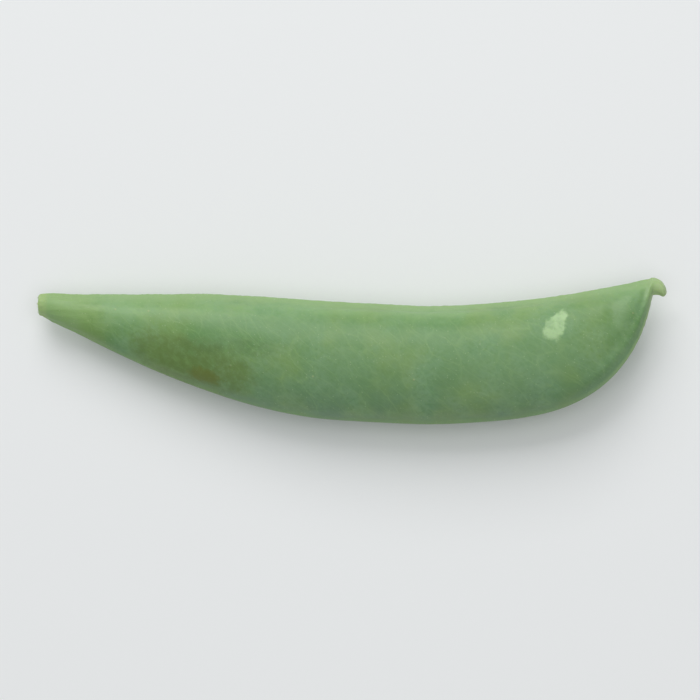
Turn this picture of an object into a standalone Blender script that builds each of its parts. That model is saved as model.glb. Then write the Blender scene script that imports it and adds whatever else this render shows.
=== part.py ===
"""A snow pea pod, topped at the stem and lying on its side: one closed solid, as it grew.

The pod runs along X from the cut neck to the beak, the dry end of the flower's style. The ventral seam,
where the two edges of the pod wall meet and the peas hang inside, faces +Y. The dorsal seam, which is the
fold of the wall, faces -Y. The floor is z = 0, and the origin is under the middle of the pod's box.
"""

import math

import bmesh
import bpy
from mathutils import Matrix

# Driving dimensions, in metres
LENGTH = 0.090  # cut neck to the tip of the beak
WIDTH = 0.017  # seam to seam at the fullest
THICKNESS = 0.011  # wall to wall at the fullest
PRESSED = 0.0002  # how far the floor flattens the lower wall where the pod lies

# Body, as shares of LENGTH along and of WIDTH or THICKNESS across
NECK_WIDTH, WIDTH_FULL_AT = 0.18, 0.475
NECK_THICKNESS, THICKNESS_FULL_AT = 0.25, 0.60
BODY_END = 0.979
WIDTH_FALLS_AT, WIDTH_FALL_POWER = 0.71, 3.4
THICKNESS_FALLS_AT, THICKNESS_FALL_POWER = 0.62, 2.4

# Knob at the neck, where the cup of the flower sat
KNOB_HEIGHT = 0.00016  # metres
KNOB_AT, KNOB_BREADTH = 0.020, 0.020  # as shares of LENGTH

# Ventral seam's line, as shares of LENGTH along and of WIDTH across
SEAM_DIP, SEAM_DIP_FROM, SEAM_DIP_TO = 0.10, 0.22, 0.66
SEAM_RISE, SEAM_RISE_FROM, SEAM_RISE_POWER = 0.28, 0.60, 1.9

# Beak, as shares of LENGTH along and of WIDTH or THICKNESS across
BEAK_WIDTH, BEAK_THICKNESS = 0.165, 0.22
BEAK_GROWS_FROM, BEAK_FROM, BEAK_TAPER = 0.90, 0.970, 0.28
BEAK_DROOP, BEAK_DROOPS_FROM = 0.095, 0.975
TIP_ROUND = 0.0006  # metres

# Section
EGG = 0.11  # how far the fullest line lies towards the ventral seam, as a share of the half width
KEEL = 1.06  # 1 is an oval section, and more draws the two seams out into keels

# Peas, which swell both walls
PEA_COUNT, FIRST_PEA, LAST_PEA = 7, 0.275, 0.845
PEA_DEPTH = 0.42  # below the ventral seam, as a share of the width
PEA_RADIUS = 0.0036
PEA_SWELL, END_PEA = 0.00040, 0.6  # metres over the middle pea, and the end peas' share of it

# Seams, in metres from the seam's own line
LIP_HEIGHT, LIP_OFFSET, LIP_BREADTH = 0.00042, 0.00075, 0.00050
TROUGH_DEPTH, TROUGH_OFFSET, TROUGH_BREADTH = 0.00014, 0.00215, 0.00060
RIB_HEIGHT, RIB_BREADTH = 0.00034, 0.00060
SEAM_FULL_AT = 0.006  # the section thickness from which the seams have their full height
LEAST_SCALE = 0.05  # of the seams, in the division that draws them narrower at the tip
SEAM_SIDE = 0.5  # cosine of the angle from a seam within which its relief is whole

# Set of the whole pod
TWIST = math.radians(-10)  # from end to end
NECK_SINKS, BEAK_LIFTS = 0.0010, 0.0008
SET_MIDDLE = 0.58  # where along the pod the twist and the bow are nil
LEAN = math.radians(-2)  # of the middle, from lying with both seams level

# Mesh
RINGS, RING_POINTS, TIP_RINGS = 84, 44, 4
END_CROWDING, SEAM_CROWDING = 0.62, 0.72
MERGE = 0.00002  # metres: a point this near the floor is on it

# Skin
SHARP_ANGLE = math.radians(50)  # edges sharper than this stay sharp
SKIN_COLOUR = (0.19, 0.34, 0.11, 1.0)
SKIN_ROUGHNESS = 0.42


def between(low, high, value):
    """0 at low, 1 at high, straight in between and level beyond."""
    return min(max((value - low) / (high - low), 0.0), 1.0)


def eased(low, high, value):
    """As between(), but smooth at both ends."""
    share = between(low, high, value)
    return share * share * (3 - 2 * share)


def bell(distance, breadth):
    return math.exp(-((distance / breadth) ** 2))


def fullness(along, neck, full_at, falls_at, fall_power):
    """How full the body is: a quarter sine out of the neck, then a blunt, egg-like end."""
    swell = neck + (1 - neck) * math.sin(math.pi / 2 * between(0, full_at, along))
    fall = between(falls_at, BODY_END, along)
    return swell * math.sqrt(1 - fall**fall_power)


def with_beak(body, beak, along):
    """The body's measure run smoothly into the beak's, which tapers."""
    tapered = beak * (1 - BEAK_TAPER * between(BEAK_FROM, 1, along))
    grown = tapered * eased(BEAK_GROWS_FROM, BEAK_FROM, along)
    return (body**3 + grown**3) ** (1 / 3)


def tip_rounding(along):
    """1 along the pod, closing to 0 as a half circle does at the tip of the beak."""
    reach = TIP_ROUND / LENGTH
    return math.sqrt(1 - between(1 - reach, 1, along) ** 2)


def neck_knob(along):
    """How much wider and thicker the knob makes the neck."""
    return 2 * KNOB_HEIGHT * bell(along - KNOB_AT, KNOB_BREADTH)


def ventral_line(along):
    """Height of the ventral seam in Y. It dips along the middle, rises to the beak and droops there."""
    dip = SEAM_DIP * eased(SEAM_DIP_FROM, SEAM_DIP_TO, along)
    rise = SEAM_RISE * between(SEAM_RISE_FROM, 1, along) ** SEAM_RISE_POWER
    droop = BEAK_DROOP * between(BEAK_DROOPS_FROM, 1, along) ** 2
    return WIDTH * (rise - dip - droop)


def pea_swell(x, below_ventral, width):
    """How far the wall stands out over the peas, from 0 to about 1. The middle peas are the largest."""
    swell = 0.0
    for pea in range(PEA_COUNT):
        order = pea / (PEA_COUNT - 1)
        at = FIRST_PEA + (LAST_PEA - FIRST_PEA) * order
        away = math.hypot(x - at * LENGTH, below_ventral - PEA_DEPTH * width)
        size = END_PEA + (1 - END_PEA) * math.sin(math.pi * order)
        swell += size * bell(away, PEA_RADIUS)
    return swell


def skin_point(along, turn):
    """The point of the skin at a share of the length and an angle, which is 0 at the ventral seam, a
    quarter turn on the upper wall and a half turn at the dorsal seam."""
    x = along * LENGTH
    width_share = fullness(along, NECK_WIDTH, WIDTH_FULL_AT, WIDTH_FALLS_AT, WIDTH_FALL_POWER)
    thickness_share = fullness(
        along, NECK_THICKNESS, THICKNESS_FULL_AT, THICKNESS_FALLS_AT, THICKNESS_FALL_POWER
    )
    plain_width = WIDTH * with_beak(width_share, BEAK_WIDTH, along)
    width = plain_width + neck_knob(along)
    thickness = THICKNESS * with_beak(thickness_share, BEAK_THICKNESS, along) + neck_knob(along)
    seam_scale = between(0, SEAM_FULL_AT, thickness) * tip_rounding(along)
    half_width = (width * tip_rounding(along) - (LIP_HEIGHT + RIB_HEIGHT) * seam_scale) / 2
    half_thickness = thickness / 2 * tip_rounding(along)

    # The plain section, from its own middle
    y = half_width * (math.cos(turn) + EGG * math.sin(turn) ** 2)
    z = half_thickness * math.copysign(abs(math.sin(turn)) ** KEEL, math.sin(turn))

    # The seams stand proud of it, and the peas push the walls out
    off_seam = abs(z) / max(seam_scale, LEAST_SCALE)
    lips = LIP_HEIGHT * bell(off_seam - LIP_OFFSET, LIP_BREADTH)
    trough = TROUGH_DEPTH * bell(off_seam - TROUGH_OFFSET, TROUGH_BREADTH)
    rib = RIB_HEIGHT * bell(off_seam, RIB_BREADTH)
    peas = PEA_SWELL * pea_swell(x, half_width - y, 2 * half_width)
    ventral_side = eased(0, SEAM_SIDE, math.cos(turn))
    dorsal_side = eased(0, SEAM_SIDE, -math.cos(turn))
    y += seam_scale * (ventral_side * (lips - trough) - dorsal_side * rib)
    z += seam_scale * peas * math.sin(turn)

    # The set of the whole pod
    twist = TWIST * (along - SET_MIDDLE)
    neck_side, beak_side = between(SET_MIDDLE, 0, along), between(SET_MIDDLE, 1, along)
    bow = BEAK_LIFTS * beak_side**2 - NECK_SINKS * neck_side**2
    middle = ventral_line(along) - plain_width / 2
    return (
        x,
        middle + y * math.cos(twist) - z * math.sin(twist),
        bow + y * math.sin(twist) + z * math.cos(twist),
    )


def ring_places():
    """Shares of the length at which the rings stand, closer together at both ends."""
    tip = TIP_ROUND / LENGTH
    places = []
    for ring in range(RINGS + 1):
        share = ring / RINGS
        crowded = share - END_CROWDING * math.sin(2 * math.pi * share) / (2 * math.pi)
        places.append((1 - tip) * crowded)
    for ring in range(1, TIP_RINGS):
        places.append(1 - tip + tip * math.sin(math.pi / 2 * ring / TIP_RINGS))
    return places


def ring_angles():
    """Angles of a ring's points, closer together at the two seams."""
    evenly = [2 * math.pi * point / RING_POINTS for point in range(RING_POINTS)]
    return [angle - SEAM_CROWDING * math.sin(2 * angle) / 2 for angle in evenly]


def add_skin(bm):
    """The skin as rings of quads, closed by the cut across the neck and by the tip of the beak."""
    angles = ring_angles()
    rings = [[bm.verts.new(skin_point(along, turn)) for turn in angles] for along in ring_places()]
    tip = bm.verts.new(skin_point(1.0, 0.0))
    for ring, following in zip(rings, rings[1:]):
        for point in range(RING_POINTS):
            after = (point + 1) % RING_POINTS
            bm.faces.new((ring[point], following[point], following[after], ring[after]))
    for point in range(RING_POINTS):
        bm.faces.new((rings[-1][point], tip, rings[-1][(point + 1) % RING_POINTS]))
    bm.faces.new(rings[0])
    bmesh.ops.recalc_face_normals(bm, faces=bm.faces)


def lay_down(bm):
    """Sets the pod over the origin on the floor, which presses its lower wall flat where they touch."""
    bmesh.ops.transform(bm, matrix=Matrix.Rotation(LEAN, 4, "X"), verts=bm.verts)
    lows = [min(vertex.co[axis] for vertex in bm.verts) for axis in range(3)]
    highs = [max(vertex.co[axis] for vertex in bm.verts) for axis in range(3)]
    middle_x, middle_y = (lows[0] + highs[0]) / 2, (lows[1] + highs[1]) / 2
    bmesh.ops.translate(bm, vec=(-middle_x, -middle_y, -lows[2] - PRESSED), verts=bm.verts)
    everything = bm.verts[:] + bm.edges[:] + bm.faces[:]
    cut = bmesh.ops.bisect_plane(
        bm, geom=everything, dist=MERGE, plane_co=(0, 0, 0), plane_no=(0, 0, -1), clear_outer=True
    )
    rim = [item for item in cut["geom_cut"] if isinstance(item, bmesh.types.BMEdge)]
    for vertex in bm.verts:
        if vertex.co.z < MERGE:
            vertex.co.z = 0.0
    bmesh.ops.holes_fill(bm, edges=rim, sides=0)


def skin_material():
    material = bpy.data.materials.new("pod_skin")
    material.use_nodes = True
    shader = material.node_tree.nodes["Principled BSDF"]
    shader.inputs["Base Color"].default_value = SKIN_COLOUR
    shader.inputs["Roughness"].default_value = SKIN_ROUGHNESS
    shader.inputs["Metallic"].default_value = 0.0
    return material


def add_pod():
    mesh = bpy.data.meshes.new("pod")
    bm = bmesh.new()
    add_skin(bm)
    lay_down(bm)
    bm.to_mesh(mesh)
    bm.free()
    mesh.shade_smooth()
    mesh.set_sharp_from_angle(angle=SHARP_ANGLE)
    mesh.materials.append(skin_material())
    bpy.context.scene.collection.objects.link(bpy.data.objects.new("pod", mesh))


for leftover in list(bpy.data.objects):
    bpy.data.objects.remove(leftover)
add_pod()
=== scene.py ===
import math

import bmesh
import bpy
from mathutils import Matrix, Vector, noise


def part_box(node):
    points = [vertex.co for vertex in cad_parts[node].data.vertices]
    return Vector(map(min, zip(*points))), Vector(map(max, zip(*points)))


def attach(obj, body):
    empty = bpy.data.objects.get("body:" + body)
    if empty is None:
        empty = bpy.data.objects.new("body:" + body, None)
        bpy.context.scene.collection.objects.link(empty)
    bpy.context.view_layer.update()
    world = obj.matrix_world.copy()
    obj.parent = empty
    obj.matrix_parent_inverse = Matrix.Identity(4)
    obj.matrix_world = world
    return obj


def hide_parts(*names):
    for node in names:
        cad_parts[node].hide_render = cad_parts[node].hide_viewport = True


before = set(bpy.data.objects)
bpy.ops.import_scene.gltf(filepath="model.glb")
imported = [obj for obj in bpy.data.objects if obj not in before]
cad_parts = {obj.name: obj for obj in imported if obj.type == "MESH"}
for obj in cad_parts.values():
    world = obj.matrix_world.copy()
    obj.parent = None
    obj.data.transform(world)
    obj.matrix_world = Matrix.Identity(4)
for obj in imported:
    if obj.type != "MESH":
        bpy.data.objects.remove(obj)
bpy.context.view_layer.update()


# ---- Pod wall ----
# Two fleshy walls that grew as one piece under a waxy green skin, with faint swellings over the peas. They
# meet in the ventral seam, a groove between two lips, and fold over in the dorsal seam, a low rib. The stem
# was cut off at the neck, and the flower's style left the small hooked beak.

pod_low, pod_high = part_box("pod")
LENGTH = pod_high.x - pod_low.x
MM = 1000.0  # millimetres in a metre

# What the wall's tree takes: sizes in metres, and the twist from end to end in radians
SIZES = {
    "Length": LENGTH,
    "Width": 0.189 * LENGTH,
    "Thickness": 0.122 * LENGTH,
    "Lip height": 0.00042,
    "Trough depth": 0.00014,
    "Rib height": 0.00034,
    "Pea swell": 0.00040,
    "Neck sinks": 0.0010,
    "Beak lifts": 0.0008,
    "Tip round": 0.0006,
    "Twist": math.radians(-10),
    "Knob": 0.00016,
    "Cut dish": 0.00022,
    "Cut corner": 0.00050,
    "Ragged rim": 0.00012,
    "Lumps": 0.00016,
    "Puckers": 0.00004,
    "Creases": 0.00008,
    "End folds": 0.00020,
}

# Body, as shares of the length along and of the width or thickness across
NECK_WIDTH, WIDTH_FULL_AT = 0.18, 0.475
NECK_THICKNESS, THICKNESS_FULL_AT = 0.25, 0.60
BODY_END = 0.979
WIDTH_FALLS_AT, WIDTH_FALL_POWER = 0.71, 3.4
THICKNESS_FALLS_AT, THICKNESS_FALL_POWER = 0.62, 2.4
KNOB_AT, KNOB_BREADTH = 0.020, 0.020  # where the cup of the flower sat

# Ventral seam's line and the beak, as shares of the length along and of the width or thickness across
SEAM_DIP, SEAM_DIP_FROM, SEAM_DIP_TO = 0.10, 0.22, 0.66
SEAM_RISE, SEAM_RISE_FROM, SEAM_RISE_POWER = 0.28, 0.60, 1.9
BEAK_WIDTH, BEAK_THICKNESS = 0.165, 0.22
BEAK_GROWS_FROM, BEAK_FROM, BEAK_TAPER = 0.90, 0.970, 0.28
BEAK_DROOP, BEAK_DROOPS_FROM = 0.095, 0.975

# Section: how far the fullest line lies towards the ventral seam, and how keeled the two seams are
EGG, KEEL = 0.11, 1.06

# Peas, which swell both walls
PEA_COUNT, FIRST_PEA, LAST_PEA = 7, 0.275, 0.845
PEA_DEPTH = 0.42  # below the ventral seam, as a share of the width
PEA_RADIUS = 0.0036  # metres
END_PEA = 0.6  # the end peas' share of the middle one's swelling

# Seams, in metres from the seam's own line
LIP_OFFSET, LIP_BREADTH = 0.00075, 0.00050
TROUGH_OFFSET, TROUGH_BREADTH = 0.00215, 0.00060
RIB_BREADTH = 0.00060
SEAM_FULL_AT = 0.006  # the section thickness from which the seams have their full height
LEAST_SCALE = 0.05  # of the seams, so that no distance is divided by 0 where the tip closes
SEAM_SIDE = 0.5  # cosine of the angle from a seam within which its relief is whole
HALF_GIRTH = 1.25  # way round from seam to seam, as a share of the width

# Set of the whole pod
SET_MIDDLE = 0.58  # where along the pod the twist and the bow are nil
LEAN = math.radians(-2)  # of the middle, from lying with both seams level

# The cut across the neck
CUT_RIM = 0.80  # where the skin's edge stands round the dish, as a share of the way out
DISH_SLOPE = 0.14  # from the rim in to the floor of the dish, in the same shares
RAG_WHOLE_AT = 0.5  # where the raggedness is whole, in the same shares. The dish's middle has none
RAG_REACH = 0.012  # how far the rim's raggedness runs on, as a share of the length

# Mesh of the wall, with its rings closer together at both ends and their points closer at the seams
RINGS, RING_POINTS = 430, 196
CUT_RINGS, TIP_RINGS = 0.05, 0.03  # shares of the rings that make the cut and the beak's tip
CUT_CROWDING, END_CROWDING, SEAM_CROWDING = 1.7, 0.5, 0.36
MERGE = 0.000001  # metres

# Ridges and hollows behind the beak: each one's place and breadth in millimetres, and its height's share
FOLDS_BESIDE_RIB = ((2.7, 0.9, 0.6), (4.6, 1.1, -0.42))  # places from the dorsal seam
FOLDS_ACROSS = ((84.7, 1.1, 0.8), (82.4, 0.9, -0.64), (86.9, 0.7, -0.64))  # places from the cut
LIP_PUCKERS_AT, LIP_PUCKERS_BREADTH = 1.0, 0.9  # millimetres from the ventral seam


class Term:
    """A socket of a node tree that can stand in plain arithmetic. With no socket it only makes nodes."""

    def __init__(self, tree, socket=None):
        self.tree = tree
        self.socket = socket

    def node(self, kind, settings=None, values=None, output=0):
        """Adds a node, sets it up, feeds its sockets with values or terms, and returns one of its outputs."""
        made = self.tree.nodes.new(kind)
        for name, setting in (settings or {}).items():
            if name == "stops":
                ramp = made.color_ramp
                while len(ramp.elements) < len(setting):
                    ramp.elements.new(1.0)
                for element, (place, colour) in zip(ramp.elements, setting):
                    element.position = place
                    element.color = colour
            else:
                setattr(made, name, setting)
        for key, value in (values or {}).items():
            if isinstance(value, Term):
                self.tree.links.new(value.socket, made.inputs[key])
            else:
                made.inputs[key].default_value = value
        return Term(self.tree, made.outputs[output])

    def other(self, output):
        """Another output of the same node."""
        return Term(self.tree, self.socket.node.outputs[output])

    def parts(self):
        """The three numbers of a vector."""
        split = self.node("ShaderNodeSeparateXYZ", None, {0: self})
        return split, split.other("Y"), split.other("Z")

    def vector(self, *numbers):
        return self.node("ShaderNodeCombineXYZ", None, dict(enumerate(numbers)))

    def math(self, operation, *values):
        return self.node("ShaderNodeMath", {"operation": operation}, dict(enumerate(values)))

    def __add__(self, value):
        return self.math("ADD", self, value)

    __radd__ = __add__

    def __sub__(self, value):
        return self.math("SUBTRACT", self, value)

    def __rsub__(self, value):
        return self.math("SUBTRACT", value, self)

    def __mul__(self, value):
        return self.math("MULTIPLY", self, value)

    __rmul__ = __mul__

    def __truediv__(self, value):
        return self.math("DIVIDE", self, value)

    def __pow__(self, value):
        return self.math("POWER", self, value)

    def __neg__(self):
        return self.math("MULTIPLY", self, -1.0)

    def __abs__(self):
        return self.math("ABSOLUTE", self)

    def sine(self):
        return self.math("SINE", self)

    def cosine(self):
        return self.math("COSINE", self)

    def root(self):
        return self.math("SQRT", self)

    def at_least(self, value):
        return self.math("MAXIMUM", self, value)

    def at_most(self, value):
        return self.math("MINIMUM", self, value)

    def between(self, low, high):
        """0 at low, 1 at high, straight in between and level beyond."""
        return self.node("ShaderNodeMapRange", None, {0: self, 1: low, 2: high})

    def eased(self, low, high):
        """As between(), but smooth at both ends."""
        smooth = {"interpolation_type": "SMOOTHSTEP"}
        return self.node("ShaderNodeMapRange", smooth, {0: self, 1: low, 2: high})

    def bell(self, breadth):
        """1 where the term is 0, and smoothly to 0 on both sides."""
        share = self / breadth
        return self.math("EXPONENT", -(share * share))

    def noise(self, scale=1.0, detail=2.0, rough=0.5):
        """Cloudy noise at this vector, about -0.3 to 0.3."""
        values = {"Vector": self, "Scale": scale, "Detail": detail, "Roughness": rough}
        return self.node("ShaderNodeTexNoise", None, values) - 0.5


def fullness(along, neck, full_at, falls_at, fall_power):
    """How full the body is: a quarter sine out of the neck, then a blunt, egg-like end."""
    swell = neck + (1 - neck) * (along.between(0.0, full_at) * (math.pi / 2)).sine()
    fall = along.between(falls_at, BODY_END)
    return swell * (1 - fall**fall_power).root()


def with_beak(along, body, beak):
    """The body's measure run smoothly into the beak's, which tapers."""
    tapered = beak * (1 - BEAK_TAPER * along.between(BEAK_FROM, 1.0))
    grown = tapered * along.eased(BEAK_GROWS_FROM, BEAK_FROM)
    return (body**3 + grown**3) ** (1 / 3)


def ventral_line(along):
    """Height of the ventral seam, in widths. It dips along the middle, rises to the beak and droops there."""
    rise = SEAM_RISE * along.between(SEAM_RISE_FROM, 1.0) ** SEAM_RISE_POWER
    droop = along.between(BEAK_DROOPS_FROM, 1.0)
    return rise - SEAM_DIP * along.eased(SEAM_DIP_FROM, SEAM_DIP_TO) - BEAK_DROOP * droop * droop


def ring_shares(size, share):
    """How far each ring is out over the cut, how far along the pod, and how open it still is at the tip."""
    out = 1 - (1 - share.between(0.0, CUT_RINGS)) ** CUT_CROWDING
    body = share.between(CUT_RINGS, 1 - TIP_RINGS)
    crowded = body - END_CROWDING * (body * (2 * math.pi)).sine() / (2 * math.pi)
    into_tip = (share.between(1 - TIP_RINGS, 1.0) * (math.pi / 2)).sine()
    tip = size["Tip round"] / size["Length"]
    along = (1 - tip) * crowded + tip * into_tip
    closing = (1 - into_tip * into_tip).at_least(0.0).root()
    return out, along, closing


def place_along(size, out, along, cosine, sine):
    """Place along X: the pod's length, which starts with the cut's dish, rounded corner and ragged rim."""
    over_rim = out.between(CUT_RIM, 1.0)
    dish = size["Cut dish"] * out.eased(CUT_RIM, CUT_RIM - DISH_SLOPE)
    corner = size["Cut corner"] * (1 - (1 - over_rim * over_rim).at_least(0.0).root())
    ragged = size["Ragged rim"] * (out.vector(cosine * 2.2, sine * 2.2, out * 1.5).noise() + 0.3)
    body = along * (size["Length"] - size["Cut corner"])
    return body + corner + dish + ragged * out.eased(0.0, RAG_WHOLE_AT) * along.eased(RAG_REACH, 0.0)


def seam_relief(size, cosine, off_seam):
    """How far the lips and the rib stand out of the plain section, and the trough beside the lips goes in."""
    lips = size["Lip height"] * (off_seam - LIP_OFFSET).bell(LIP_BREADTH)
    trough = size["Trough depth"] * (off_seam - TROUGH_OFFSET).bell(TROUGH_BREADTH)
    rib = size["Rib height"] * off_seam.bell(RIB_BREADTH)
    return cosine.eased(0.0, SEAM_SIDE) * (lips - trough) - (-cosine).eased(0.0, SEAM_SIDE) * rib


def pea_swell(size, x, off_peas):
    """How far the wall stands out over the peas, from 0 to about 1. The middle peas are the largest."""
    swell = 0
    for pea in range(PEA_COUNT):
        order = pea / (PEA_COUNT - 1)
        from_pea = x - (FIRST_PEA + (LAST_PEA - FIRST_PEA) * order) * size["Length"]
        away = (from_pea * from_pea + off_peas * off_peas).root()
        swell = swell + (END_PEA + (1 - END_PEA) * math.sin(math.pi * order)) * away.bell(PEA_RADIUS)
    return swell


def wall_places(tube, size):
    """Where each point of the tube goes, and the measures that the wall's relief and colours follow."""
    round_x, round_y, up = tube.node("GeometryNodeInputPosition").parts()
    evenly = tube.math("ARCTAN2", round_y, round_x)
    turn = evenly - SEAM_CROWDING * (evenly * 2).sine()
    cosine, sine = turn.cosine(), turn.sine()
    out, along, closing = ring_shares(size, up + 0.5)
    x = place_along(size, out, along, cosine, sine)

    # Width and thickness
    width_share = fullness(along, NECK_WIDTH, WIDTH_FULL_AT, WIDTH_FALLS_AT, WIDTH_FALL_POWER)
    thickness_share = fullness(
        along, NECK_THICKNESS, THICKNESS_FULL_AT, THICKNESS_FALLS_AT, THICKNESS_FALL_POWER
    )
    knob = 2 * size["Knob"] * (along - KNOB_AT).bell(KNOB_BREADTH)
    plain_width = size["Width"] * with_beak(along, width_share, BEAK_WIDTH)
    width = plain_width + knob
    thickness = size["Thickness"] * with_beak(along, thickness_share, BEAK_THICKNESS) + knob
    scale = thickness.between(0.0, SEAM_FULL_AT) * closing
    half_width = (width * closing - (size["Lip height"] + size["Rib height"]) * scale) / 2
    half_thickness = thickness / 2 * closing

    # The plain section, and then the seams that stand proud of it and the peas that push the walls out
    y = half_width * (cosine + EGG * sine * sine)
    z = half_thickness * tube.math("SIGN", sine) * abs(sine) ** KEEL
    off_seam = abs(z) / scale.at_least(LEAST_SCALE)
    off_peas = half_width * (1 - 2 * PEA_DEPTH) - y
    seam_y = y + scale * seam_relief(size, cosine, off_seam)
    seam_z = z + scale * size["Pea swell"] * pea_swell(size, x, off_peas) * sine

    # Twist and bow of the whole pod
    twist = size["Twist"] * (along - SET_MIDDLE)
    to_beak, to_neck = along.between(SET_MIDDLE, 1.0), along.between(SET_MIDDLE, 0.0)
    bow = size["Beak lifts"] * to_beak * to_beak - size["Neck sinks"] * to_neck * to_neck
    middle = size["Width"] * ventral_line(along) - plain_width / 2
    set_y = middle + (seam_y * twist.cosine() - seam_z * twist.sine()) * out
    set_z = bow + (seam_y * twist.sine() + seam_z * twist.cosine()) * out

    # Distances over the skin from either seam, in millimetres, and the way round from one to the other
    from_ventral = ((y - half_width) * (y - half_width) + z * z).root() * MM
    from_dorsal = ((y + half_width) * (y + half_width) + z * z).root() * MM
    share_round = tube.math("ARCTAN2", from_ventral, from_dorsal) / (math.pi / 2)
    kept = {
        "skin_way": tube.vector(x * MM, share_round * width * (HALF_GIRTH * MM), half_thickness * sine * MM),
        "skin_seams": tube.vector(from_ventral, from_dorsal, along),
        "skin_cut": tube.vector(out, closing),
    }
    return tube.vector(x, set_y, set_z), kept


def read_kept(start, name):
    """The three numbers that the tree has kept on each point under a name."""
    vectors = {"data_type": "FLOAT_VECTOR"}
    return start.node("GeometryNodeInputNamedAttribute", vectors, {"Name": name}).parts()


def folds(distance, ridges):
    """Ridges and hollows side by side."""
    return sum(height * (distance - place).bell(breadth) for place, breadth, height in ridges)


def wall_relief(start, size):
    """Height of the wall's own unevenness, which fades out on the cut and at the beak's tip."""
    way, girth, side = read_kept(start, "skin_way")
    from_ventral, from_dorsal, along = read_kept(start, "skin_seams")
    out, closing, _ = read_kept(start, "skin_cut")
    place = start.node("GeometryNodeInputPosition")
    lumps = place.noise(60.0, 1.0) + 0.5 * place.noise(170.0, 1.0)
    slanted = start.vector(way * 0.35 + girth * 0.20, girth * 0.12, side * 0.2).noise()
    crosswise = start.vector(way * 1.5, girth * 0.3, side * 0.8).noise()
    lengthwise = start.vector(way * 0.06, girth * 1.5, side * 1.5).noise(1.0, 1.0)
    near_lip = (from_ventral - LIP_PUCKERS_AT).bell(LIP_PUCKERS_BREADTH)
    near_ends = along.eased(0.14, 0.01) + along.eased(0.90, 0.97)
    beside_rib = folds(from_dorsal, FOLDS_BESIDE_RIB) * along.eased(0.83, 0.93) * along.eased(0.985, 0.965)
    across = folds(way, FOLDS_ACROSS) * from_ventral.eased(1.2, 2.6) * from_ventral.eased(9.0, 5.0)
    off_rib = 0.25 + 0.75 * from_dorsal.eased(0.2, 1.2)
    height = off_rib * (
        size["Lumps"] * 2 * lumps
        + size["Puckers"] * 2 * slanted
        + size["Puckers"] * 5 * crosswise * near_lip
        + size["End folds"] * (beside_rib + across)
    )
    creases = size["Creases"] * 2 * lengthwise * near_ends
    return out.eased(CUT_RIM, 1.0) * closing * (height + creases)


def add_inputs(tree, values):
    """Named inputs for a tree's sizes, whole numbers where the value is one, and the finish."""
    tree.interface.new_socket("Geometry", in_out="OUTPUT", socket_type="NodeSocketGeometry")
    for name, value in values.items():
        kind = "NodeSocketInt" if isinstance(value, int) else "NodeSocketFloat"
        tree.interface.new_socket(name, in_out="INPUT", socket_type=kind)
    tree.interface.new_socket("Finish", in_out="INPUT", socket_type="NodeSocketMaterial")
    return Term(tree).node("NodeGroupInput")


def wall_tree():
    """A tube whose points are sent to their places on the pod, and then raised by the relief."""
    tree = bpy.data.node_groups.new("pod wall", "GeometryNodeTree")
    inputs = add_inputs(tree, SIZES)
    size = {name: inputs.other(name) for name in SIZES}
    tube = inputs.node(
        "GeometryNodeMeshCylinder",
        {"fill_type": "NONE"},
        {"Vertices": RING_POINTS, "Side Segments": RINGS, "Radius": 1.0, "Depth": 1.0},
    )
    places, kept = wall_places(tube, size)
    for name, value in kept.items():
        tube = tube.node(
            "GeometryNodeStoreNamedAttribute",
            {"data_type": "FLOAT_VECTOR", "domain": "POINT"},
            {"Geometry": tube, "Name": name, "Value": value},
        )
    shaped = tube.node("GeometryNodeSetPosition", None, {"Geometry": tube, "Position": places})
    closed = shaped.node("GeometryNodeMergeByDistance", None, {"Geometry": shaped, "Distance": MERGE})
    raise_by = closed.node(
        "ShaderNodeVectorMath",
        {"operation": "SCALE"},
        {0: closed.node("GeometryNodeInputNormal"), "Scale": wall_relief(closed, size)},
    )
    raised = closed.node("GeometryNodeSetPosition", None, {"Geometry": closed, "Offset": raise_by})
    dress(raised, inputs)
    return tree


def dress(shaped, inputs):
    """Ends a tree: smooth shading, real meshes, the finish and the way out."""
    smooth = shaped.node("GeometryNodeSetShadeSmooth", None, {"Geometry": shaped})
    real = smooth.node("GeometryNodeRealizeInstances", None, {"Geometry": smooth})
    finish = inputs.other("Finish")
    dressed = real.node("GeometryNodeSetMaterial", None, {"Geometry": real, "Material": finish})
    output = shaped.tree.nodes.new("NodeGroupOutput")
    shaped.tree.links.new(dressed.socket, output.inputs["Geometry"])


def bring_in(name, data):
    """A new object in the scene, at the origin."""
    brought = bpy.data.objects.new(name, data)
    bpy.context.scene.collection.objects.link(brought)
    return brought


def grow(name, tree, values):
    """Grows a mesh with a node tree and returns it as a plain object."""
    grown = bring_in(name, bpy.data.meshes.new(name))
    growth = grown.modifiers.new("growth", "NODES")
    growth.node_group = tree
    for socket in tree.interface.items_tree:
        if socket.in_out == "INPUT":
            growth[socket.identifier] = values[socket.name]
    depsgraph = bpy.context.evaluated_depsgraph_get()
    mesh = bpy.data.meshes.new_from_object(
        grown.evaluated_get(depsgraph), preserve_all_data_layers=True, depsgraph=depsgraph
    )
    grown.modifiers.remove(growth)
    grown.data = mesh
    mesh.name = name
    mesh.materials.pop(index=0)  # the empty slot that an empty mesh puts before the finish
    return grown


def corners(places):
    """Lowest and highest corner of the box round some places."""
    places = list(places)
    return (
        Vector(min(place[axis] for place in places) for axis in range(3)),
        Vector(max(place[axis] for place in places) for axis in range(3)),
    )


def shade(red, green, blue):
    """A display colour, 0 to 255, as the linear colour that a shader takes."""
    return (*(((value / 255 + 0.055) / 1.055) ** 2.4 for value in (red, green, blue)), 1.0)


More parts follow.
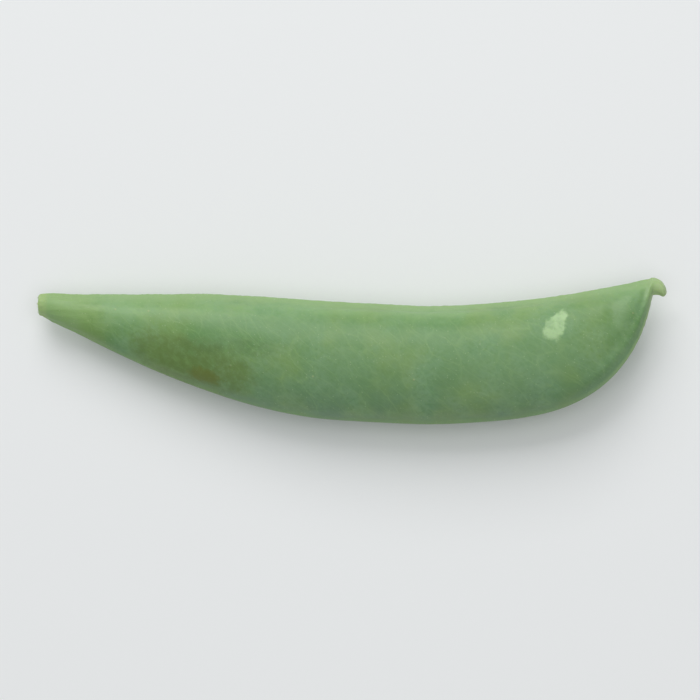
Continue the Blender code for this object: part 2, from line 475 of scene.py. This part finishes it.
class Finish:
    """A material in the making: a colour laid on in coats, with places on the surface in millimetres."""

    def __init__(self, name):
        self.material = bpy.data.materials.new(name)
        self.material.use_nodes = True
        self.tree = self.material.node_tree
        self.shader = self.tree.nodes["Principled BSDF"]
        self.start = Term(self.tree)
        metres = self.start.node("ShaderNodeTexCoord", None, None, "Object")
        self.place = metres.node("ShaderNodeVectorMath", {"operation": "SCALE"}, {0: metres, "Scale": MM})
        self.colour = None

    def attribute(self, name):
        """The three numbers that a piece keeps on its points under a name."""
        return self.start.node("ShaderNodeAttribute", {"attribute_name": name}, None, "Vector").parts()

    def ramp(self, share, stops):
        """The ground coat: a row of colours, each with its place."""
        stops = [(place, shade(*colour)) for place, colour in stops]
        self.colour = self.start.node("ShaderNodeValToRGB", {"stops": stops}, {0: share})

    def coat(self, share, colour):
        """Lays a colour over what is there, as thickly as the share says."""
        self.colour = self.start.node(
            "ShaderNodeMix", {"data_type": "RGBA"}, {0: share, 6: self.colour, 7: shade(*colour)}, 2
        )

    def cells(self, vector, scale):
        """Distance to the nearest edge in a net of cells."""
        return self.start.node(
            "ShaderNodeTexVoronoi", {"feature": "DISTANCE_TO_EDGE"}, {"Vector": vector, "Scale": scale}
        )

    def dots(self, scale, radius, share):
        """Scattered round dots. The scale is in cells to a millimetre, and a share of the cells has one."""
        near = self.start.node("ShaderNodeTexVoronoi", None, {"Vector": self.place, "Scale": scale})
        drawn = self.start.node("ShaderNodeSeparateColor", None, {0: near.other("Color")})
        return near.eased(radius * scale, 0.45 * radius * scale) * drawn.eased(1 - share, 1 - 0.6 * share)

    def done(self, varying, height, even):
        """Links what varies, raises the relief in millimetres, and sets what is the same all over."""
        bump = {"Strength": 1.0, "Distance": 1 / MM, "Height": height}
        normal = self.start.node("ShaderNodeBump", None, bump)
        varying = {**varying, "Base Color": self.colour, "Normal": normal}
        for socket, term in varying.items():
            self.tree.links.new(term.socket, self.shader.inputs[socket])
        for socket, value in even.items():
            self.shader.inputs[socket].default_value = value
        return self.material


# Colours of the skin as they look in soft light, 0 to 255. The ground's places are shares of its reach, and
# it holds painted light and shade
GROUND_REACH = 16.0  # millimetres from the ventral seam
# Painted light and shade in the ground: a painted highlight on the shoulder by the ventral seam, over a skin
# a little paler there, and painted shade, darker and greyer, towards the dorsal seam
GROUND_WITH_PAINTED_SHADE = (
    (0.0, (136, 173, 110)),
    (0.22, (130, 169, 108)),
    (0.35, (101, 145, 83)),
    (0.50, (98, 141, 80)),
    (0.66, (102, 143, 86)),
    (1.0, (101, 136, 100)),
)
YELLOW_CLOUD_TINT, BLUE_GREEN_CLOUD_TINT, DULL_FLECK_TINT = (132, 160, 78), (84, 136, 86), (92, 132, 70)
PAINTED_SHADE_BEHIND_BEAK_TINT = (98, 138, 86)
VEIN_TINT, WAX_TINT = (152, 184, 118), (142, 174, 140)
LIP_AND_HIGHLIGHT_TINT, GROOVE_TINT = (151, 182, 125), (92, 118, 52)
RIB_TINT, RIB_LINE_TINT = (150, 180, 122), (104, 132, 72)
NECK_TINT, NECK_RIM_TINT, BEAK_TINT = (146, 178, 104), (172, 196, 128), (168, 192, 132)
PORE_TINT, CORK_SPECK_TINT, BRUISE_SPECK_TINT = (190, 208, 166), (172, 184, 132), (84, 112, 50)
HEALED_TINT = (180, 211, 158)
# Colours of the dark olive patch, its trail and its core, partly painted shadow
DARK_PATCH_TINT, TRAILING_TINT, PATCH_CORE_TINT = (93, 118, 54), (84, 118, 62), (108, 113, 28)

# The graze, and the dark olive patch, partly painted shadow, with its browner core and its trail, in
# millimetres
# as seen from above: the middle of each, the way it points and its half sizes
GRAZE_AT, GRAZE_WAY, GRAZE_HALF = (29.5, 3.4), (0.50, 0.86), (2.5, 1.35)
GRAZE_TAPER = 0.13  # of its breadth, for each millimetre towards its point
DARK_PATCH_AT, DARK_PATCH_WAY, DARK_PATCH_HALF = (-22.4, -2.0), (0.95, -0.31), (9.8, 3.3)
PATCH_CORE_AT, PATCH_CORE_HALF = (2.3, 1.3), (2.8, 1.1)  # along and across the dark patch
TRAIL_AT, TRAIL_WAY, TRAIL_HALF = (-15.4, -0.2), (1.0, 0.0), (6.4, 1.6)


class Skin(Finish):
    """The pod's finish. It also knows the way along and round the wall, and the distances to the seams."""

    def __init__(self):
        super().__init__("pod_skin")
        self.way, self.girth, self.side = self.attribute("skin_way")
        self.from_ventral, self.from_dorsal, self.along = self.attribute("skin_seams")

    def mark_axes(self, at, way):
        """Distances along and across a mark, from its middle."""
        x, y, _ = self.place.parts()
        right, up = x - at[0], y - at[1]
        return right * way[0] + up * way[1], right * way[1] - up * way[0]


def from_middle(along, across, half):
    """Distance from the middle of an oval, 1 on its edge."""
    return ((along / half[0]) ** 2 + (across / half[1]) ** 2).root()


def lay_ground_and_painted_shade(skin):
    """Lighter by the ventral seam with a painted highlight, darker to the dorsal one with painted shade, and
    clouded yellow and blue green.
    """
    place = skin.place
    skin.ramp((skin.from_ventral + 1.6 * place.noise(0.45)) / GROUND_REACH, GROUND_WITH_PAINTED_SHADE)
    skin.coat(0.40 * place.noise(0.10, 3.0).eased(-0.08, 0.14), YELLOW_CLOUD_TINT)
    skin.coat(0.36 * place.noise(0.16, 4.0, 0.6).eased(0.00, 0.20), BLUE_GREEN_CLOUD_TINT)
    skin.coat(0.20 * place.noise(0.9, 4.0, 0.6).eased(0.02, 0.22), DULL_FLECK_TINT)
    # Painted shade: darker over the hollow of the wall behind the beak, away from the ventral seam
    shade_behind_beak = skin.along.eased(0.82, 0.91) * skin.from_ventral.eased(1.5, 3.5)
    skin.coat(0.34 * shade_behind_beak, PAINTED_SHADE_BEHIND_BEAK_TINT)


def lay_veins(skin):
    """A net of veins, which leaves the ventral seam at a slant."""
    way, girth = skin.way, skin.girth
    drift = skin.place.noise(0.30, 2.0)
    slanted = skin.start.vector(
        (way - 0.9 * girth) * 0.42 + drift * 0.9, (girth + 0.5 * way) * 0.15 + drift * 0.4, skin.side * 0.12
    )
    coarse = skin.cells(slanted, 1.0).eased(0.075, 0.0)
    fine = skin.cells(slanted, 3.3).eased(0.12, 0.0)
    on_wall = skin.from_ventral.eased(1.0, 3.2) * skin.from_dorsal.eased(0.6, 2.2)
    patchy = (0.6 + 1.2 * skin.place.noise(0.25)).at_least(0.0)
    veins = (0.6 * coarse + 0.4 * fine) * on_wall * patchy
    skin.coat(0.34 * veins, VEIN_TINT)
    return veins


def lay_bloom(skin):
    """A bloom of wax, blotchy, with the strokes where it was rubbed off."""
    place = skin.place
    x, y, z = place.parts()
    strokes = skin.start.vector(x * 0.5 + y * 0.9, y * 6.0 - x * 3.4, z * 2.0).noise(0.5, 3.0)
    blotches = place.noise(0.17, 5.0, 0.65).eased(-0.16, 0.16) * place.noise(1.7, 3.0, 0.6).eased(-0.30, 0.12)
    bloom = blotches * (1 - 0.7 * strokes.eased(0.10, 0.24))
    skin.coat(0.36 * bloom, WAX_TINT)
    return bloom


def lay_seams(skin):
    """Pale yellow-green lips, partly a painted highlight along the ventral edge, with a dark thread in the
    groove, and a pale rib with a faint one.
    """
    place = skin.place
    # Paler lips: their own paler colour with a painted highlight along the ventral edge
    lips = (skin.from_ventral + 0.9 * place.noise(1.1, 3.0)).eased(2.4, 1.1)
    skin.coat(0.60 * lips, LIP_AND_HIGHLIGHT_TINT)
    skin.coat(0.75 * (skin.from_ventral + 0.14 * place.noise(3.0)).eased(0.34, 0.08), GROOVE_TINT)
    rib = (skin.from_dorsal + 0.5 * place.noise(1.5, 3.0)).eased(1.1, 0.35)
    skin.coat((0.25 + 0.50 * skin.along.eased(0.84, 0.96)) * rib, RIB_TINT)
    skin.coat(0.35 * skin.from_dorsal.eased(0.22, 0.05), RIB_LINE_TINT)
    return lips


def lay_ends(skin):
    """Neck and beak, paler and yellower towards their ends."""
    place, along = skin.place, skin.along
    skin.coat(0.32 * (along + 0.03 * place.noise(0.6, 3.0)).eased(0.12, 0.0), NECK_TINT)
    skin.coat(0.50 * (along + 0.006 * place.noise(2.0, 3.0)).eased(0.014, 0.002), NECK_RIM_TINT)
    skin.coat(0.70 * (along + 0.012 * place.noise(1.2, 3.0)).eased(0.960, 0.990), BEAK_TINT)


def lay_specks(skin):
    """Pale breathing pores, and a few small corky or bruised specks."""
    pores = skin.dots(2.4, 0.10, 0.30)
    skin.coat(0.30 * pores, PORE_TINT)
    cork_specks = skin.dots(0.42, 0.22, 0.16)
    skin.coat(0.40 * cork_specks, CORK_SPECK_TINT)
    bruise_specks = skin.dots(0.23, 0.55, 0.20) * skin.place.noise(2.5, 3.0, 0.7).eased(-0.10, 0.10)
    skin.coat(0.35 * bruise_specks, BRUISE_SPECK_TINT)
    return pores, cork_specks


def lay_graze(skin):
    """One healed graze on the upper wall, corky and pale, broad below and pointed above."""
    place = skin.place
    _, _, z = place.parts()
    along, across = skin.mark_axes(GRAZE_AT, GRAZE_WAY)
    ring = from_middle(along, across / (1 - GRAZE_TAPER * along), GRAZE_HALF)
    graze = (ring + 1.1 * place.noise(0.7, 3.0, 0.6)).eased(1.14, 0.80) * z.eased(5.0, 6.0)
    cork = place.noise(0.9, 4.0, 0.6).eased(-0.16, 0.12)
    skin.coat(graze * (0.44 + 0.30 * cork + 0.18 * along.eased(-2.5, 1.5)), HEALED_TINT)
    return graze, cork


def lay_dark_patch(skin):
    """One mottled dark olive patch nearer the neck, partly painted shadow, browner at its core, with a faint
    trail.
    """
    place = skin.place
    _, _, z = place.parts()
    along, across = skin.mark_axes(DARK_PATCH_AT, DARK_PATCH_WAY)
    mottled = place.noise(1.1, 4.0, 0.65).eased(-0.22, 0.12)
    ring = from_middle(along, across, DARK_PATCH_HALF)
    dark_patch = (ring + 1.1 * place.noise(0.45, 4.0, 0.6)).eased(1.20, 0.60) * z.eased(4.0, 5.4)
    # Dark olive, partly painted shadow on the upper wall
    skin.coat(dark_patch * (0.30 + 0.38 * mottled), DARK_PATCH_TINT)
    trail_ring = from_middle(*skin.mark_axes(TRAIL_AT, TRAIL_WAY), TRAIL_HALF)
    trail = (trail_ring + 1.3 * place.noise(0.9, 4.0, 0.6)).eased(1.20, 0.55)
    skin.coat(0.42 * trail * mottled, TRAILING_TINT)
    core_ring = from_middle(along - PATCH_CORE_AT[0], across - PATCH_CORE_AT[1], PATCH_CORE_HALF)
    patch_core = (core_ring + 1.6 * place.noise(0.9, 4.0, 0.65)).eased(1.15, 0.50) * dark_patch
    skin.coat(0.52 * patch_core, PATCH_CORE_TINT)


def skin_finish():
    """Living skin, slightly glossy where the wax is thin, with light that goes a little way in."""
    skin = Skin()
    lay_ground_and_painted_shade(skin)
    veins = lay_veins(skin)
    bloom = lay_bloom(skin)
    lips = lay_seams(skin)
    lay_ends(skin)
    pores, cork_specks = lay_specks(skin)
    graze, cork = lay_graze(skin)
    lay_dark_patch(skin)

    lengthwise = skin.start.vector(skin.way * 0.35, skin.girth * 5.0, skin.side * 5.0).noise()
    near_ends = (skin.along.eased(0.20, 0.02) + skin.along.eased(0.90, 0.97) + 0.8 * lips).at_most(1.0)
    height = (
        0.012 * skin.place.noise(8.0, 3.0, 0.6)
        + 0.012 * veins
        + 0.035 * lengthwise * near_ends
        - 0.012 * pores
        + 0.03 * cork_specks
        + graze * (0.05 * cork - 0.04)
    )
    varying = {
        "Roughness": 0.44 + 0.16 * bloom + 0.20 * skin.place.noise(5.0, 3.0) + 0.16 * graze - 0.05 * lips,
        "Coat Weight": (0.24 - 0.20 * bloom - 0.2 * graze).at_least(0.0),
    }
    even = {
        "Coat Roughness": 0.30,
        "IOR": 1.45,
        "Subsurface Weight": 0.22,
        "Subsurface Radius": (0.7, 1.0, 0.35),
        "Subsurface Scale": 0.0012,
    }
    return skin.done(varying, height, even)


def settle(mesh):
    """Lays a grown wall down as the solid lies, in its box and no lower than the surface."""
    mesh.transform(Matrix.Rotation(LEAN, 4, "X"))
    low, high = corners(vertex.co for vertex in mesh.vertices)
    gap = (pod_low + pod_high - low - high) / 2
    mesh.transform(Matrix.Translation((gap.x, gap.y, pod_high.z - high.z)))
    for vertex in mesh.vertices:
        vertex.co.z = max(vertex.co.z, 0.0)


pod_wall = grow("pod_wall", wall_tree(), {**SIZES, "Finish": skin_finish()})
settle(pod_wall.data)
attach(pod_wall, "root")
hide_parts("pod")


# ---- Cut flesh ----
# What the knife laid open at the neck: juicy pale flesh that has shrunk back a little inside the rim of
# skin. It is a thin lens, sunk into the dished end of the wall.

FLESH_SIDES, FLESH_RINGS = 96, 40
FLESH_REACH = 0.90  # as a share of the rim
FLESH_DEPTH, FLESH_PITS, FLESH_HOLLOW = 0.00018, 0.00006, 0.00009  # metres
HOLLOW_BREADTH = 0.35  # as a share of the way out
PITS_PER_METRE, PIT_LAYER = 2600, 0.0003  # how fine the pits' noise is, and where it is cut, in metres
RIM_BAND = 0.03  # how near the rim a point has to be to count as on it

FLESH_COLOURS = (
    (0.0, (196, 206, 150)),
    (0.35, (208, 218, 168)),
    (0.62, (176, 198, 128)),
    (0.85, (128, 164, 84)),
)
MOIST_CELL_TINT, DRIED_FLESH_TINT = (224, 230, 192), (168, 158, 92)


def kept_on(piece, name):
    """Each point of a grown piece with the vector that its tree has kept on it."""
    vectors = piece.data.attributes[name].data
    return [(vertex.co, kept.vector) for vertex, kept in zip(piece.data.vertices, vectors)]


def cut_frame():
    """The neck's cut as a place and its two half sizes, from the wall's own rim."""
    rim = [place for place, cut in kept_on(pod_wall, "skin_cut") if abs(cut.x - CUT_RIM) < RIM_BAND]
    turn = Matrix.Rotation(LEAN - SET_MIDDLE * SIZES["Twist"], 4, "X")
    low, high = corners(turn.inverted() @ place for place in rim)
    middle = (low + high) / 2
    half = (high - low) / 2
    return turn @ Matrix.Translation((low.x, middle.y, middle.z)), half.y, half.z


def finished_mesh(name, build):
    """What was built, as a smooth mesh."""
    mesh = bpy.data.meshes.new(name)
    build.to_mesh(mesh)
    build.free()
    mesh.shade_smooth()
    return mesh


def flesh_mesh(half_width, half_thickness):
    """A lens in the YZ plane, its crown towards -X, pitted and a little hollow in the middle.

    The crown is made of the sphere's lower half, which keeps the faces pointing outwards.
    """
    build = bmesh.new()
    bmesh.ops.create_uvsphere(build, u_segments=FLESH_SIDES, v_segments=FLESH_RINGS, radius=1.0)
    for vertex in build.verts:
        around = math.atan2(vertex.co.y, vertex.co.x)
        out = 2 / math.pi * math.acos(min(abs(vertex.co.z), 1.0))
        y = out * math.cos(around) * half_width * FLESH_REACH
        z = out * math.sin(around) * half_thickness * FLESH_REACH
        thinned = 1 - out**4
        x = FLESH_DEPTH * thinned
        if vertex.co.z < 0:
            pits = FLESH_PITS * noise.noise(Vector((y, z, PIT_LAYER)) * PITS_PER_METRE)
            hollow = FLESH_HOLLOW * math.exp(-((out / HOLLOW_BREADTH) ** 2))
            x = -(FLESH_DEPTH + pits - hollow) * thinned
        vertex.co = (x, y, z)
    return finished_mesh("cut_flesh", build)


def flesh_finish(half_width, half_thickness, frame_of_cut):
    """Green under the skin, then pale and moist, with a spongy pith in the middle."""
    flesh = Finish("cut_flesh")
    place = flesh.place
    middle = frame_of_cut.translation * MM
    _, y, z = place.parts()
    out_y, out_z = (y - middle.y) / (half_width * MM), (z - middle.z) / (half_thickness * MM)
    flesh.ramp((out_y * out_y + out_z * out_z).root() + 0.25 * place.noise(2.0, 3.0), FLESH_COLOURS)
    cells = flesh.cells(place, 7.0).eased(0.10, 0.0)
    flesh.coat(0.30 * cells, MOIST_CELL_TINT)
    flesh.coat(0.45 * place.noise(1.6, 4.0, 0.7).eased(0.04, 0.22), DRIED_FLESH_TINT)
    height = 0.012 * cells + 0.05 * place.noise(6.0, 3.0, 0.6)
    varying = {"Roughness": 0.38 + 0.5 * place.noise(4.0, 3.0)}
    even = {"Subsurface Weight": 0.3, "Subsurface Radius": (0.8, 1.0, 0.4), "Subsurface Scale": 0.0008}
    return flesh.done(varying, height, even)


cut_place, cut_half_width, cut_half_thickness = cut_frame()
cut_flesh_mesh = flesh_mesh(cut_half_width, cut_half_thickness)
cut_flesh_mesh.transform(cut_place @ Matrix.Translation((SIZES["Cut dish"], 0, 0)))
cut_flesh_mesh.materials.append(flesh_finish(cut_half_width, cut_half_thickness, cut_place))
cut_flesh = bring_in("cut_flesh", cut_flesh_mesh)
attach(cut_flesh, "root")


# ---- Vessel ends ----
# The strands that fed the pod, cut across with the neck. They are tougher than the flesh, so their ends
# stand out of it as a ring of small pale beads, with the seams' own strands the thickest.

VESSEL_RING = 0.62  # as a share of the rim
VESSELS = {
    "Count": 16,
    "Half width": VESSEL_RING * cut_half_width,
    "Half thickness": VESSEL_RING * cut_half_thickness,
    "Bead": 0.00010,
    "Seed": 7,
}
BEAD_DEPTH = 0.45  # as a share of its breadth
LEAST_BEAD = 0.6  # the smallest that is drawn, as a share of the largest
SEAM_BEAD = 0.8  # how much is added at the seams, as a share of what is drawn
STRAND_COLOURS = ((0.3, (214, 216, 172)), (0.7, (178, 170, 112)))


def oval_points(inputs):
    """Points evenly round an oval in the YZ plane, with the tree's own count and half sizes."""
    count = inputs.other("Count")
    circle = inputs.node("GeometryNodeMeshCircle", {"fill_type": "NONE"}, {"Vertices": count, "Radius": 1.0})
    x, y, _ = circle.node("GeometryNodeInputPosition").parts()
    oval = circle.vector(0.0, x * inputs.other("Half width"), y * inputs.other("Half thickness"))
    return circle.node("GeometryNodeSetPosition", None, {"Geometry": circle, "Position": oval})


def draw(inputs, low, high, seed):
    """A random number for each point."""
    values = {2: low, 3: high, "Seed": seed}
    return inputs.node("FunctionNodeRandomValue", {"data_type": "FLOAT"}, values, 1)


def vessel_tree():
    """Flattened beads round an oval, of random sizes, the largest by the two seams."""
    tree = bpy.data.node_groups.new("vessel ends", "GeometryNodeTree")
    inputs = add_inputs(tree, VESSELS)
    ring = oval_points(inputs)
    bead = inputs.node("GeometryNodeMeshIcoSphere", None, {"Radius": 1.0, "Subdivisions": 2})
    turn = inputs.node("GeometryNodeInputIndex") * (2 * math.pi) / inputs.other("Count")
    drawn = draw(inputs, LEAST_BEAD, 1.0, inputs.other("Seed"))
    size = inputs.other("Bead") * drawn * (1 + SEAM_BEAD * abs(turn.cosine()) ** 8.0)
    placed = ring.node(
        "GeometryNodeInstanceOnPoints",
        None,
        {"Points": ring, "Instance": bead, "Scale": inputs.vector(size * BEAD_DEPTH, size, size)},
    )
    dress(placed, inputs)
    return tree


def vessel_finish():
    """Pale woody strand, browner in places."""
    strand = Finish("vessel_ends")
    strand.ramp(strand.place.noise(3.0, 3.0) + 0.5, STRAND_COLOURS)
    height = 0.03 * strand.place.noise(12.0, 2.0)
    return strand.done({"Roughness": 0.5 + 0.4 * strand.place.noise(6.0)}, height, {"IOR": 1.45})


vessel_ends = grow("vessel_ends", vessel_tree(), {**VESSELS, "Finish": vessel_finish()})
vessel_ends.data.transform(cut_place @ Matrix.Translation((SIZES["Cut dish"] - FLESH_DEPTH, 0, 0)))
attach(vessel_ends, "root")


# ---- Torn fibres ----
# The knife tore the last of the skin and of the tough strings in it, so the rim of the cut is edged with
# short pale shreds that have begun to dry and lean out at random.

FIBRE_RING = 0.985  # as a share of the rim
FIBRES = {
    "Count": 34,
    "Half width": FIBRE_RING * cut_half_width,
    "Half thickness": FIBRE_RING * cut_half_thickness,
    "Length": 0.00038,
    "Radius": 0.00005,
    "Seed": 3,
}
FIBRE_ROOT = 0.00010  # how deep the shreds are rooted in the rim, in metres
FIBRE_FLATNESS = 2.4  # breadth over thickness
FIBRE_LEAN, FIBRE_TURN = 0.8, 1.5  # radians to either side of straight out
FIBRE_COLOURS = ((0.3, (166, 190, 122)), (0.55, (196, 208, 156)), (0.75, (186, 184, 126)))


def fibre_tree():
    """Flat tapering shreds round an oval, of random sizes, which lean out at random."""
    tree = bpy.data.node_groups.new("torn fibres", "GeometryNodeTree")
    inputs = add_inputs(tree, FIBRES)
    ring = oval_points(inputs)
    shred = inputs.node(
        "GeometryNodeMeshCone",
        {"fill_type": "TRIANGLE_FAN"},
        {"Vertices": 6, "Side Segments": 3, "Radius Top": 0.12, "Radius Bottom": 1.0, "Depth": 1.0},
    )
    seed = inputs.other("Seed")
    tall = inputs.other("Length") * (0.3 + 0.7 * draw(inputs, 0.0, 1.0, seed) ** 2.0)
    wide = inputs.other("Radius") * draw(inputs, 0.6, 1.3, seed + 1)
    straight_out = -math.pi / 2
    leans = inputs.node(
        "FunctionNodeRandomValue",
        {"data_type": "FLOAT_VECTOR"},
        {
            0: (-FIBRE_LEAN, straight_out - FIBRE_LEAN, -FIBRE_TURN),
            1: (FIBRE_LEAN, straight_out + FIBRE_LEAN, FIBRE_TURN),
            "Seed": seed + 2,
        },
    )
    sizes = inputs.vector(wide, wide * FIBRE_FLATNESS, tall)
    placed = ring.node(
        "GeometryNodeInstanceOnPoints",
        None,
        {"Points": ring, "Instance": shred, "Rotation": leans, "Scale": sizes},
    )
    dress(placed, inputs)
    return tree


def fibre_finish():
    """Drying string, from green to straw-coloured."""
    fibre = Finish("torn_fibres")
    fibre.ramp(fibre.place.noise(1.5, 3.0) + 0.5, FIBRE_COLOURS)
    height = 0.02 * fibre.place.noise(14.0, 2.0)
    return fibre.done({"Roughness": 0.6 + 0.4 * fibre.place.noise(6.0)}, height, {"IOR": 1.45})


torn_fibres = grow("torn_fibres", fibre_tree(), {**FIBRES, "Finish": fibre_finish()})
torn_fibres.data.transform(cut_place @ Matrix.Translation((FIBRE_ROOT, 0, 0)))
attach(torn_fibres, "root")


# ---- Dry tip ----
# The stub of the flower's style, dead since the pod set. It has dried to a wrinkled straw-coloured point
# that droops from the end of the beak.

TIP_SIDES, TIP_STEPS = 56, 72
TIP_RADIUS = 0.00076  # metres
TIP_TAPER, TIP_FLATTENING = 0.38, 0.42  # of the radius and of the height, from root to end
TIP_SWELLING = 0.14  # as a share of the radius
TIP_SWELLS_AT, TIP_SWELLS_OVER, TIP_BLUNT_FROM = 0.80, 0.12, 0.84  # shares of the way to the end

# The curve's three points, in metres along from the pod's end and across from the middle of the beak
TIP_ROOT, TIP_BEND, TIP_END = (-0.00180, 0.0003), (-0.00040, 0.0003), (-0.00048, -0.00130)

TIP_COLOURS = (
    (0.0, (150, 182, 112)),
    (0.5, (164, 190, 124)),
    (0.85, (186, 196, 142)),
    (1.0, (158, 134, 86)),
)
TIP_STREAK_TINT = (134, 128, 76)
BEAK_RING_FROM, BEAK_RING_TO = 0.985, 0.992  # of the length, where the tip's height is taken from the beak


def wrinkle(angle, share):
    """How far the dried skin stands out, as a share of the radius: lengthwise folds and small lumps."""
    creases = 0.09 * math.cos(5 * angle + 3 * share) + 0.05 * math.cos(11 * angle - 5 * share)
    lumps = 0.14 * noise.noise(Vector((math.cos(angle), math.sin(angle), share * 5)) * 1.5)
    return creases + lumps


def tip_mesh(root, bend, end):
    """A bent, wrinkled, tapering stub along a curve from the root towards the bend and round to the end."""
    build = bmesh.new()
    rings = []
    for step in range(TIP_STEPS + 1):
        share = step / TIP_STEPS
        centre = root.lerp(bend, share).lerp(bend.lerp(end, share), share)
        way = (bend - root).lerp(end - bend, share).normalized()
        across = Vector((0, 0, 1)).cross(way).normalized()
        rise = way.cross(across) * (1 - TIP_FLATTENING * share)
        into_end = max(0.0, (share - TIP_BLUNT_FROM) / (1 - TIP_BLUNT_FROM))
        blunt = math.sqrt(max(0.0, 1 - into_end**2))
        swollen = 1 + TIP_SWELLING * math.exp(-(((share - TIP_SWELLS_AT) / TIP_SWELLS_OVER) ** 2))
        radius = TIP_RADIUS * (1 - TIP_TAPER * share) * swollen * blunt
        ring = []
        for side in range(TIP_SIDES):
            angle = 2 * math.pi * side / TIP_SIDES
            place = (across * math.cos(angle) + rise * math.sin(angle)) * radius
            ring.append(build.verts.new(centre + place * (1 + wrinkle(angle, share))))
        rings.append(ring)
    for low, high in zip(rings, rings[1:]):
        for side in range(TIP_SIDES):
            build.faces.new((low[side - 1], low[side], high[side], high[side - 1]))
    build.faces.new(rings[0][::-1])
    bmesh.ops.remove_doubles(build, verts=build.verts, dist=MERGE)
    bmesh.ops.recalc_face_normals(build, faces=build.faces)
    return finished_mesh("dry_tip", build)


def tip_finish(root, end):
    """Green at its root, straw-coloured further down and brown at the end, with dark dry streaks."""
    dry = Finish("dry_tip")
    x, y, z = dry.place.parts()
    down = (root.y * MM - y) / ((root.y - end.y) * MM)
    dry.ramp(down + 0.25 * dry.place.noise(3.0, 3.0), TIP_COLOURS)
    streaks = dry.start.vector(x * 3.0, y * 1.5, z * 9.0).noise(1.6, 3.0)
    dry.coat(0.45 * streaks.eased(0.02, 0.20), TIP_STREAK_TINT)
    height = 0.05 * streaks + 0.02 * dry.place.noise(14.0, 2.0)
    return dry.done({"Roughness": 0.62 + 0.3 * dry.place.noise(5.0)}, height, {"IOR": 1.45})


beak_low, beak_high = corners(
    place for place, seams in kept_on(pod_wall, "skin_seams") if BEAK_RING_FROM < seams.z < BEAK_RING_TO
)
beak_middle = (beak_low + beak_high) / 2
tip_root, tip_bend, tip_end = (
    Vector((pod_high.x + x, beak_middle.y + y, beak_middle.z)) for x, y in (TIP_ROOT, TIP_BEND, TIP_END)
)
dry_tip_mesh = tip_mesh(tip_root, tip_bend, tip_end)
dry_tip_mesh.materials.append(tip_finish(tip_root, tip_end))
dry_tip = bring_in("dry_tip", dry_tip_mesh)
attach(dry_tip, "root")


# ---- Floor ----
# A plain pale table top for the pod to lie on, wide enough to fill the view from any side. It isn't part
# of the object.

FLOOR_SIZE = 3.0  # metres
FLOOR_COLOUR, FLOOR_ROUGHNESS = (0.86, 0.87, 0.87, 1.0), 0.7

floor_build = bmesh.new()
bmesh.ops.create_grid(floor_build, x_segments=1, y_segments=1, size=FLOOR_SIZE / 2)
floor_mesh = bpy.data.meshes.new("floor")
floor_build.to_mesh(floor_mesh)
floor_build.free()
floor_material = bpy.data.materials.new("floor")
floor_material.use_nodes = True
floor_shader = floor_material.node_tree.nodes["Principled BSDF"]
floor_shader.inputs["Base Color"].default_value = FLOOR_COLOUR
floor_shader.inputs["Roughness"].default_value = FLOOR_ROUGHNESS
floor_mesh.materials.append(floor_material)
floor = bring_in("floor", floor_mesh)


# ---- Light ----
# Soft light from a wide window beyond the ventral seam and from a lamp overhead, with a pale even
# surround that keeps the shadows soft.

LIT_PLACE = Vector((0, 0, 0.005))  # what the lamps point at
SURROUND_COLOUR, SURROUND_STRENGTH = (0.95, 0.98, 1.0, 1.0), 0.34


def add_light(name, place, size, power):
    """A square lamp, with its size in metres and its power in watts."""
    lamp = bpy.data.lights.new(name, "AREA")
    lamp.shape = "SQUARE"
    lamp.size = size
    lamp.energy = power
    held = bring_in(name, lamp)
    held.location = place
    held.rotation_euler = (LIT_PLACE - Vector(place)).to_track_quat("-Z", "Y").to_euler()


add_light("window", place=(-0.12, 0.60, 0.60), size=0.6, power=3.9)
add_light("overhead", place=(0.1, -0.05, 0.9), size=0.8, power=2.6)
world = bpy.data.worlds.new("surround")
world.use_nodes = True
background = world.node_tree.nodes["Background"]
background.inputs["Color"].default_value = SURROUND_COLOUR
background.inputs["Strength"].default_value = SURROUND_STRENGTH
bpy.context.scene.world = world
bpy.context.scene.view_settings.view_transform = "Standard"


# ---- Camera ----
# It looks down on the pod, a little from the dorsal seam's side and from the beak's end. The frame is a
# little wider than the pod is long.

CAMERA_OFFSET = Vector((0.032, -0.058, 0.60))  # from the middle of the pod, in metres
CAMERA_ROLL = math.radians(-0.6)
FRAME_WIDTH, CLIP_START = 0.100, 0.01  # metres
SENSOR_WIDTH = 36.0  # millimetres

camera_data = bpy.data.cameras.new("camera")
camera = bring_in("camera", camera_data)
aim = Vector((0, 0, pod_high.z / 2))
camera.location = aim + CAMERA_OFFSET
toward = (aim - camera.location).normalized()
right = toward.cross(Vector((math.sin(CAMERA_ROLL), math.cos(CAMERA_ROLL), 0))).normalized()
up = right.cross(toward)
camera.rotation_euler = Matrix((right, up, -toward)).transposed().to_euler()
camera_data.sensor_width = SENSOR_WIDTH
camera_data.lens = SENSOR_WIDTH * (camera.location - aim).length / FRAME_WIDTH
camera_data.clip_start = CLIP_START
bpy.context.scene.camera = camera
